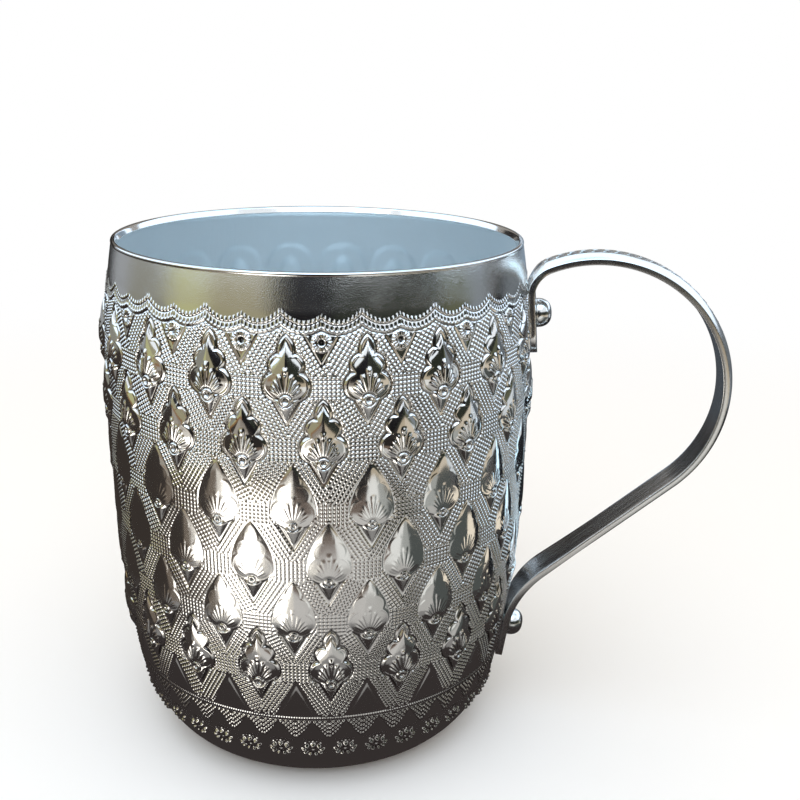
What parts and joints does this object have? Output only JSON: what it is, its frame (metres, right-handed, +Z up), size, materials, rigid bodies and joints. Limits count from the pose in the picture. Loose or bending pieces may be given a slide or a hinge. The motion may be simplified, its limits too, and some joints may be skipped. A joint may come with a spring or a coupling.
{
  "type": "aluminium cup with handle",
  "caption": "Embossed thin-walled aluminium drinking cup with a lotus-bud relief, rolled rim, rounded base and a domed strap handle riveted to the wall.",
  "frame": {"origin": "centre of the flat base, on the surface that the cup stands on", "axes": "+Z up along the cup's axis, +X from the axis towards the handle, which lies in the XZ plane"},
  "size_m": [0.1258, 0.0864, 0.1026],
  "materials": {
    "embossed_aluminium": "pressed aluminium sheet with polished bosses over a fine hatched ground",
    "strap_aluminium": "rolled aluminium strap, smooth flat side and chased domed side",
    "rivet_aluminium": "bright set aluminium rivet"
  },
  "bodies": {
    "root": {"cup_body": "embossed_aluminium", "handle_strap": "strap_aluminium", "upper_rivet": "rivet_aluminium", "lower_rivet": "rivet_aluminium"}
  },
  "joints": []
}
